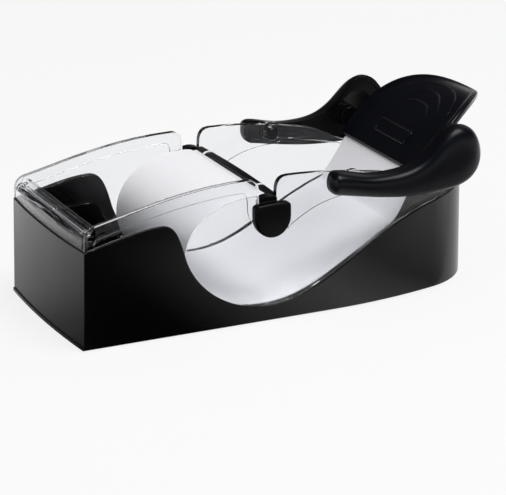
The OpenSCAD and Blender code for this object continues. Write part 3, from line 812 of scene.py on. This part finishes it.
# Share of the way along the centre line where the rounded tip closes
LEAF_END = bisect(0.5, 1.0, lambda t: leaf_wide(t) > TIP_ROUND)


def leaf_t_of(x):
    """Share of the way along the leaf where its centre line is at x."""
    return bisect(0.0, 1.0, lambda t: leaf_at(t)[0].x < x)


def leaf_point(x, y, up):
    """A point of the leaf over the plan point x, y, raised by up along the normal."""
    place, normal, _ = leaf_at(leaf_t_of(x))
    return (x + normal.x * up, y, place.y + normal.y * up)


def leaf_side(inset):
    """Half plan of the leaf from root to tip, drawn in by inset."""
    side = []
    for i in range(LEAF_STEPS + 1):
        t = LEAF_END * (1 - (1 - i / LEAF_STEPS) ** TIP_CROWD)
        place, _, half = leaf_at(t)
        side.append(Vector((place.x, half)))
    side[-1].y = 0
    moved = [Vector((side[0].x + ROOT_INSET * inset, side[0].y - inset))]
    for i in range(1, LEAF_STEPS):
        run = heading(side, i)
        moved.append(side[i] + inset * Vector((run.y, -run.x)))
    moved = [Vector((p.x, max(p.y, LEAST_HALF * (LEAF_STEPS - i))))
             for i, p in enumerate(moved)]
    moved.append(Vector((side[-1].x - inset, 0)))
    return moved


def leaf_loop(inset, up):
    """Closed ring of points: near side, tip, far side, then back along the root."""
    side = leaf_side(inset)
    face = min(up, LEAF_T / 2)
    rise = [face + (up - face) * min(1, i / LIP_ROWS) for i in range(len(side))]
    ring = [leaf_point(p.x, -p.y, r) for p, r in zip(side, rise)]
    ring += [leaf_point(p.x, p.y, r) for p, r in list(zip(side, rise))[::-1][1:]]
    root = side[0]
    for k in range(1, LEAF_ACROSS):
        ring.append(leaf_point(root.x, root.y * (1 - 2 * k / LEAF_ACROSS), face))
    return ring


def leaf_fill(first, inset, up, points, faces):
    """Fills the ring that starts at first with strips from its near to its far side."""
    side = leaf_side(inset)
    rows = []
    for i, p in enumerate(side[:-1]):
        if i == 0:
            back = [first + 2 * LEAF_STEPS + k for k in range(1, LEAF_ACROSS)][::-1]
            rows.append([first] + back + [first + 2 * LEAF_STEPS])
            continue
        row = [first + i]
        for k in range(1, LEAF_ACROSS):
            points.append(leaf_point(p.x, p.y * (2 * k / LEAF_ACROSS - 1), up))
            row.append(len(points) - 1)
        rows.append(row + [first + 2 * LEAF_STEPS - i])
    for a, b in zip(rows, rows[1:]):
        for k in range(LEAF_ACROSS):
            faces.append((a[k], a[k + 1], b[k + 1], b[k]))
    tip = first + LEAF_STEPS
    for k in range(LEAF_ACROSS):
        faces.append((rows[-1][k], rows[-1][k + 1], tip))


def make_leaf():
    """Leaf through rings of (inset, height): under side, edge, raised border, upper face."""
    low, high = -LEAF_T / 2, LEAF_T / 2
    rings = [(1.1, low), (0.3, low + 0.3), (0.0, low + 1.1), (0.0, high - 0.1),
             (0.2, high + 0.45), (0.7, high + 0.8), (1.3, high + LIP_H),
             (2.0, high + LIP_H - 0.1), (LIP_W - 0.5, high + 0.45), (LIP_W + 0.2, high + 0.15),
             (LIP_W + 0.9, high + 0.03), (LIP_W + 1.6, high)]
    points = [p for inset, up in rings for p in leaf_loop(inset, up)]
    count = 2 * LEAF_STEPS + LEAF_ACROSS
    faces = ring_faces(count, len(rings))
    leaf_fill(0, rings[0][0], rings[0][1], points, faces)
    leaf_fill((len(rings) - 1) * count, rings[-1][0], rings[-1][1], points, faces)
    piece = new_piece("leaf_grip", points, faces, soft_touch, 50)
    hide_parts("grip_leaf")
    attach(piece, "grip")


make_leaf()

# Ridges of the thumb rest: x and y of their ends, x of the apex, y of the inner controls
RIDGES = [(14.2, 12.8, 19.2, 10.8), (17.0, 20.5, 26.8, 2.0), (17.0, 28.5, 33.2, 16.3)]
RIDGE_R = 0.6
RIDGE_SUNK = 0.15
PLAQUE_R = 0.8
PLAQUE_ALONG = (9.7, 16.8)
PLAQUE_HALF = 15.4
PLAQUE_CORNER = 1.8
CORNER_STEPS = 6


def leaf_t_along(length):
    """Share of the way along the leaf after a length of its surface."""
    steps = 400
    before = leaf_at(0)[0]
    run = 0.0
    for i in range(1, steps + 1):
        here = leaf_at(i / steps)[0]
        run += (here - before).length
        if run >= length:
            return i / steps
        before = here
    return 1.0


def ridge_lines():
    """Arches on the leaf, mirrored about its centre line."""
    lines = []
    for end_x, end_y, apex_x, full_y in RIDGES:
        # A cubic goes three quarters of the way to its inner controls
        far_x = (apex_x - end_x / 4) / 0.75
        curve = bezier(Vector((end_x, -end_y)), Vector((far_x, -full_y)),
                       Vector((far_x, full_y)), Vector((end_x, end_y)), 40)
        lines.append([leaf_point(GRIP_PIN.x + p.x, p.y, LEAF_T / 2 - RIDGE_SUNK)
                      for p in curve])
    return lines


def plaque_line():
    """Rounded border of the bare plaque near the leaf's root."""
    near, far = PLAQUE_ALONG
    corners = [(far - PLAQUE_CORNER, PLAQUE_HALF - PLAQUE_CORNER, 0),
               (near + PLAQUE_CORNER, PLAQUE_HALF - PLAQUE_CORNER, 90),
               (near + PLAQUE_CORNER, -PLAQUE_HALF + PLAQUE_CORNER, 180),
               (far - PLAQUE_CORNER, -PLAQUE_HALF + PLAQUE_CORNER, 270)]
    line = []
    for along, across, start in corners:
        for i in range(CORNER_STEPS + 1):
            a = math.radians(start + 90 * i / CORNER_STEPS)
            t = leaf_t_along(along + PLAQUE_CORNER * math.cos(a))
            line.append(leaf_point(leaf_at(t)[0].x, across + PLAQUE_CORNER * math.sin(a),
                                   LEAF_T / 2 - RIDGE_SUNK))
    return line


beads("thumb_rest_ridges", ridge_lines(), RIDGE_R, 1, soft_touch, "grip")
beads("bare_plaque_border", [plaque_line()], PLAQUE_R, 0, soft_touch, "grip",
      closed=True)


# ---- film ----------------------------------------------------------------------------

FILM_T = 0.6
FILM_HALF = 42.0
FILM_ACROSS = 30
# How much less its half width is at the grip
FILM_EASE = 0.7
# Radius of the trim along the round end, and how far its centre is past the middle
ROUND_R = 235.8
ROUND_DROP = 193.0
LOOP_STEPS = 40
SLOPE_STEPS = 24
PULL_STEPS = 36
TUCK_STEPS = 6
# Row of the pull at which its two sheets meet
PULL_SPLIT = 22
film_top = from_bar(-4.4, 1.35)
film_left = from_bar(-45.0, -25.6)
film_dip = from_bar(-4.4, -51.9)
film_turn = from_bar(39.6, -35.8)
film_leave = from_bar(65.1, -22.0)
film_grip = from_grip(-5.6, -9.3)


def film_half(x):
    """Half width of the film, which is trimmed along the round end of the tub."""
    past = max(x - ROUND_END_X, 0)
    return min(FILM_HALF, math.sqrt(ROUND_R**2 - past**2) - ROUND_DROP)


def film_sheet(name, line, halves, cad_node=None):
    """A thin closed sheet along a line of (x, z), halves giving its half width there."""
    rows = len(line)
    points, faces = [], []
    for face_side in (1, -1):
        for i, place in enumerate(line):
            at = place + face_side * FILM_T / 2 * normal_at(line, i)
            for k in range(FILM_ACROSS + 1):
                points.append((at.x, halves[i] * (2 * k / FILM_ACROSS - 1), at.y))
    width = FILM_ACROSS + 1
    sheet = rows * width

    def corner(layer, i, k):
        return layer * sheet + i * width + k

    def quad(*corners):
        faces.append(tuple(corner(*c) for c in corners))

    for layer in (0, 1):
        for i in range(rows - 1):
            for k in range(FILM_ACROSS):
                quad((layer, i, k), (layer, i, k + 1), (layer, i + 1, k + 1),
                     (layer, i + 1, k))
    for i in range(rows - 1):
        for k in (0, FILM_ACROSS):
            quad((0, i, k), (0, i + 1, k), (1, i + 1, k), (1, i, k))
    for i in (0, rows - 1):
        for k in range(FILM_ACROSS):
            quad((0, i, k), (0, i, k + 1), (1, i, k + 1), (1, i, k))
    piece = new_piece(name, points, faces, white_film, 50)
    if cad_node:
        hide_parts(cad_node)
    return piece


def make_film():
    """The film in four sheets, from the bar through the tub and up to the grip."""
    loop = chain(
        bezier(film_top, film_top + Vector((-15, 2.6)), Vector((film_left.x, BAR.y - 3.4)),
               film_left, LOOP_STEPS),
        bezier(film_left, Vector((film_left.x, BAR.y - 43.4)),
               Vector((BAR.x - 28.4, film_dip.y)), film_dip, LOOP_STEPS))
    hung = film_sheet("film_in_the_tub", loop, [FILM_HALF] * len(loop), "film_loop")
    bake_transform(hung)

    slope = chain(
        bezier(film_dip, film_dip + Vector((18, 0)), from_bar(26.6, -43.3), film_turn,
               SLOPE_STEPS),
        bezier(film_turn, from_bar(48.6, -30.5), from_bar(57.6, -25.4), film_leave,
               SLOPE_STEPS))
    laid = film_sheet("film_on_the_slope", slope, [film_half(p.x) for p in slope],
                      "film_slope")
    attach(laid, "base")

    pull = chain(
        bezier(film_leave, film_leave + Vector((3.5, 2.0)), film_leave + Vector((8.5, 10.6)),
               film_grip, PULL_STEPS),
        bezier(film_grip, film_grip + Vector((0.3, 0.56)), from_grip(-4.8, -8.85),
               from_grip(-3.9, -8.5), TUCK_STEPS))
    halves = [film_half(p.x) - FILM_EASE * min(1, i / PULL_STEPS)
              for i, p in enumerate(pull)]
    lower = film_sheet("film_up_to_the_arms", pull[: PULL_SPLIT + 1],
                       halves[: PULL_SPLIT + 1], "film_pull")
    upper = film_sheet("film_under_the_grip", pull[PULL_SPLIT:], halves[PULL_SPLIT:])
    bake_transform(lower)
    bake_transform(upper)


make_film()


# ---- studio --------------------------------------------------------------------------

# In metres: half the floor's side, and the place that the lamps look at
FLOOR_HALF = 4.0
LAMP_AIM = Vector((0, 0, 0.04))
FLOOR_COLOUR = "f9f9f9"
# Share of the floor that glows where it is seen, over its matt paper
FLOOR_GLOW = 0.88
WORLD_LIGHT = 0.4
# Painted reflection, seen in gloss alone: height of the view ray at which the white walls fade
# into the dark ceiling, and its level
FADE_LOW = 0.02
FADE_HIGH = 0.22
CEILING_LEVEL = 0.05
# Height of the cards in millimetres
CARD_Z = 0.5
# Strength of a card's glow at the white end of its ramp
CARD_FULL = 4.0


def seen_not_lit(tree):
    """1 for camera, glossy and transmission rays, 0 for the rays that light things."""
    path = node(tree, "ShaderNodeLightPath")
    first = node(tree, "ShaderNodeMath",
                 {0: path.outputs["Is Camera Ray"], 1: path.outputs["Is Glossy Ray"]},
                 operation="MAXIMUM")
    return node(tree, "ShaderNodeMath",
                {0: first.outputs[0], 1: path.outputs["Is Transmission Ray"]},
                operation="MAXIMUM").outputs[0]


def make_floor():
    """White paper that catches a soft shadow."""
    mesh = bpy.data.meshes.new("studio_floor")
    h = FLOOR_HALF
    mesh.from_pydata([(-h, -h, 0), (h, -h, 0), (h, h, 0), (-h, h, 0)], [], [(0, 1, 2, 3)])
    floor = add_object("studio_floor", mesh)
    material, tree = start_material("studio_paper")
    matt = node(tree, "ShaderNodeBsdfDiffuse", {"Color": srgb("f2f2f2")})
    glow = node(tree, "ShaderNodeEmission", {"Color": srgb(FLOOR_COLOUR), "Strength": 1.0})
    share = node(tree, "ShaderNodeMath", {0: seen_not_lit(tree), 1: FLOOR_GLOW},
                 operation="MULTIPLY")
    mix = node(tree, "ShaderNodeMixShader",
               {0: share.outputs[0], 1: matt.outputs[0], 2: glow.outputs[0]})
    node(tree, "ShaderNodeOutputMaterial", {"Surface": mix.outputs[0]})
    mesh.materials.append(material)


def make_world():
    """White past the object, and even white light all round; in gloss, a painted reflection of
    white near the horizon under a dark ceiling.
    """
    world = bpy.data.worlds.new("studio_world")
    bpy.context.scene.world = world
    world.use_nodes = True
    tree = world.node_tree
    tree.nodes.clear()
    path = node(tree, "ShaderNodeLightPath")
    upward = node(tree, "ShaderNodeSeparateXYZ",
                  {"Vector": node(tree, "ShaderNodeTexCoord").outputs["Generated"]})
    ceiling = node(tree, "ShaderNodeMapRange",
                   {"Value": upward.outputs["Z"], "From Min": FADE_LOW,
                    "From Max": FADE_HIGH, "To Min": 1.0, "To Max": CEILING_LEVEL},
                   interpolation_type="SMOOTHSTEP")
    light = node(tree, "ShaderNodeBackground",
                 {"Color": srgb("ffffff"), "Strength": WORLD_LIGHT})
    dark = node(tree, "ShaderNodeBackground",
                {"Color": srgb(FLOOR_COLOUR), "Strength": ceiling.outputs["Result"]})
    seen = node(tree, "ShaderNodeBackground", {"Color": srgb(FLOOR_COLOUR), "Strength": 1.0})
    indirect = node(tree, "ShaderNodeMath",
                    {0: path.outputs["Is Glossy Ray"], 1: path.outputs["Is Transmission Ray"]},
                    operation="MAXIMUM")
    room = node(tree, "ShaderNodeMixShader",
                {0: indirect.outputs[0], 1: light.outputs[0], 2: dark.outputs[0]})
    mix = node(tree, "ShaderNodeMixShader",
               {0: path.outputs["Is Camera Ray"], 1: room.outputs[0], 2: seen.outputs[0]})
    node(tree, "ShaderNodeOutputWorld", {"Surface": mix.outputs[0]})


def soft_lamp(name, at, size, watts):
    """A square soft box that looks at the middle of the object, placed in metres."""
    data = bpy.data.lights.new(name, "AREA")
    data.size = size
    data.energy = watts
    lamp = add_object(name, data)
    lamp.location = at
    lamp.rotation_mode = "QUATERNION"
    lamp.rotation_quaternion = (LAMP_AIM - Vector(at)).to_track_quat("-Z", "Y")


def card(name, corners, along, shades):
    """A card on the floor that shows in gloss alone: a painted reflection that lights nothing. Its
    glow runs through shades, as (place in millimetres, strength), along the X or Y axis."""
    mesh = bpy.data.meshes.new(name)
    mesh.from_pydata([mm(x, y, CARD_Z) for x, y in corners], [], [(0, 1, 2, 3)])
    piece = add_object(name, mesh)
    material, tree = start_material(name)
    place = node(tree, "ShaderNodeSeparateXYZ", {"Vector": object_place(tree)}).outputs[along]
    first, last = shades[0][0], shades[-1][0]
    share = node(tree, "ShaderNodeMapRange",
                 {"Value": place, "From Min": first / 1000, "From Max": last / 1000})
    ramp = node(tree, "ShaderNodeValToRGB", {"Fac": share.outputs["Result"]})
    for i, (at, level) in enumerate(shades):
        stop = ramp.color_ramp.elements[i] if i < 2 else ramp.color_ramp.elements.new(0.5)
        stop.position = (at - first) / (last - first)
        stop.color = [level / CARD_FULL] * 3 + [1]
    glow = node(tree, "ShaderNodeEmission",
                {"Color": ramp.outputs["Color"], "Strength": CARD_FULL})
    node(tree, "ShaderNodeOutputMaterial", {"Surface": glow.outputs[0]})
    mesh.materials.append(material)
    piece.visible_camera = piece.visible_diffuse = piece.visible_shadow = False
    piece.visible_transmission = piece.visible_volume_scatter = False


make_floor()
make_world()
soft_lamp("key_box", (0.3, -0.55, 1.35), 0.8, 18.5)
soft_lamp("back_box", (1.2, 0.9, 1.0), 0.9, 1.5)
soft_lamp("left_box", (-1.4, -0.5, 0.5), 0.6, 3.3)
# The cards paint the reflections in the tub's glossy sides and the arms. In front of the near
# side: black, a bright band, black again, then bright on the right, which right_card carries on.
# arm_card, nearer the camera, paints black reflections on the arms. end_card lies beyond the
# square end and paints the end wall's reflection: dark at the near corner and brightest past
# the far one.
card("front_card", [(-140, -170), (330, -170), (330, -40), (-140, -40)], "X",
     [(-140, 0.0), (-60, 0.0), (-45, 0.14), (20, 1.2), (32, 1.35), (45, 1.05), (66, 0.75),
      (82, 0.4), (96, 0.02), (126, 0.02), (140, 1.1), (155, 1.6), (190, 2.2), (330, 2.0)])
card("right_card", [(330, -170), (800, -170), (800, 400), (330, 400)], "X",
     [(330, 2.6), (800, 2.6)])
card("arm_card", [(-140, -480), (420, -480), (420, -170), (-140, -170)], "X",
     [(-140, 0.0), (200, 0.04), (420, 0.1)])
card("end_card", [(-360, -60), (-108, -60), (-108, 260), (-360, 260)], "Y",
     [(-60, 0.08), (0, 0.28), (50, 0.6), (80, 1.7), (105, 2.6), (140, 1.9), (165, 1.4),
      (200, 1.2)])

bpy.context.scene.view_settings.view_transform = "Standard"
